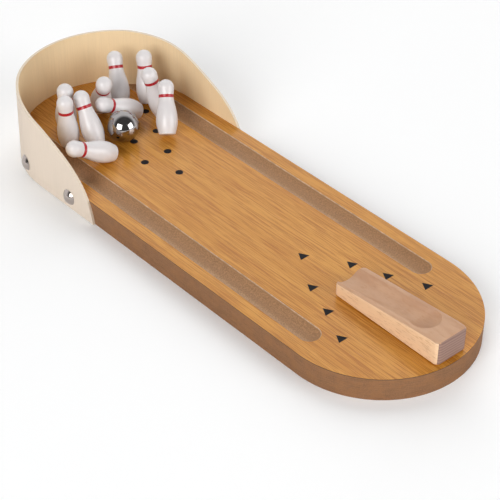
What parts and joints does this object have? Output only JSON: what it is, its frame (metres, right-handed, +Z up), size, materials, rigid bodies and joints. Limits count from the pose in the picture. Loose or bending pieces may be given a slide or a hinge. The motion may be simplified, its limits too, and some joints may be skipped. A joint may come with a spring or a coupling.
{
  "type": "tabletop bowling game",
  "caption": "Tabletop bowling game: round-ended wooden lane with side gutters and a bent wood backstop, turned white pins in mid fall, a steel ball and a small launch ramp.",
  "frame": {"origin": "middle of the lane board's underside", "axes": "+Z up; +Y along the lane from the player's end to the pins; +X to the player's right"},
  "size_m": [0.11, 0.3041, 0.0448],
  "materials": {
    "core_board": "raw fibreboard, matt",
    "lane_print": "printed bamboo strips, satin",
    "bent_veneer": "bare pale veneer with fine upright grain",
    "nail_metal": "bright nickel plating",
    "pin_lacquer": "white gloss lacquer with a thin red neck band",
    "ball_metal": "polished steel",
    "ramp_wood": "bare sanded beech"
  },
  "bodies": {
    "lane": {"board_core": "core_board", "lane_veneer": "lane_print", "backstop_wall": "bent_veneer", "wall_nail_front_left": "nail_metal", "wall_nail_front_right": "nail_metal", "wall_nail_rear_left": "nail_metal", "wall_nail_rear_right": "nail_metal", "wall_nail_back": "nail_metal"},
    "pin_01": {"pin_01": "pin_lacquer"},
    "pin_02": {"pin_02": "pin_lacquer"},
    "pin_03": {"pin_03": "pin_lacquer"},
    "pin_04": {"pin_04": "pin_lacquer"},
    "pin_05": {"pin_05": "pin_lacquer"},
    "pin_06": {"pin_06": "pin_lacquer"},
    "pin_07": {"pin_07": "pin_lacquer"},
    "pin_08": {"pin_08": "pin_lacquer"},
    "pin_09": {"pin_09": "pin_lacquer"},
    "pin_10": {"pin_10": "pin_lacquer"},
    "ball": {"steel_ball": "ball_metal"},
    "ramp": {"launch_ramp": "ramp_wood"}
  },
  "joints": [
    {"name": "pin_01_topple", "type": "hinge", "parent": "lane", "child": "pin_01", "pos_m": [0.01746, 0.0765, 0.0129], "axis": [-0.7859, 0.6184, 0], "range_deg": [-37.4, 4]},
    {"name": "pin_02_topple", "type": "hinge", "parent": "lane", "child": "pin_02", "pos_m": [-0.02041, 0.07757, 0.0129], "axis": [-0.1564, -0.9877, 0], "range_deg": [-64.5, 9]},
    {"name": "pin_03_topple", "type": "hinge", "parent": "lane", "child": "pin_03", "pos_m": [0.02499, 0.09559, 0.0129], "axis": [-0.7782, -0.628, 0], "range_deg": [-6, 20]},
    {"name": "pin_04_topple", "type": "hinge", "parent": "lane", "child": "pin_04", "pos_m": [-0.01787, 0.09574, 0.0129], "axis": [-0.9956, 0.0941, 0], "range_deg": [-33.4, 1]},
    {"name": "pin_05_topple", "type": "hinge", "parent": "lane", "child": "pin_05", "pos_m": [0.01471, 0.10088, 0.0129], "axis": [-0.0906, -0.9959, 0], "range_deg": [-1, 13]},
    {"name": "pin_06_topple", "type": "hinge", "parent": "lane", "child": "pin_06", "pos_m": [-0.02896, 0.10826, 0.0129], "axis": [-0.9677, -0.2521, 0], "range_deg": [-2.8, 7]},
    {"name": "pin_07_topple", "type": "hinge", "parent": "lane", "child": "pin_07", "pos_m": [0.03115, 0.11147, 0.0129], "axis": [-0.887, 0.4617, 0], "range_deg": [-16.6, 28]},
    {"name": "pin_08_topple", "type": "hinge", "parent": "lane", "child": "pin_08", "pos_m": [-0.02107, 0.11457, 0.0129], "axis": [0.8894, -0.4571, 0], "range_deg": [-11, 1]},
    {"name": "pin_09_topple", "type": "hinge", "parent": "lane", "child": "pin_09", "pos_m": [0.00326, 0.11625, 0.0129], "axis": [0.9342, -0.3567, 0], "range_deg": [-30, 0]},
    {"name": "pin_10_topple", "type": "hinge", "parent": "lane", "child": "pin_10", "pos_m": [0.0169, 0.11712, 0.0129], "axis": [-0.8878, 0.4602, 0], "range_deg": [-34.8, 32]},
    {"name": "ball_roll", "type": "slide", "parent": "lane", "child": "ball", "axis": [0, 1, 0], "range_m": [-0.155, 0]},
    {"name": "ramp_aim", "type": "hinge", "parent": "lane", "child": "ramp", "pos_m": [-0.0003, -0.1138, 0.0129], "axis": [0, 0, 1], "range_deg": [-20, 20]}
  ]
}
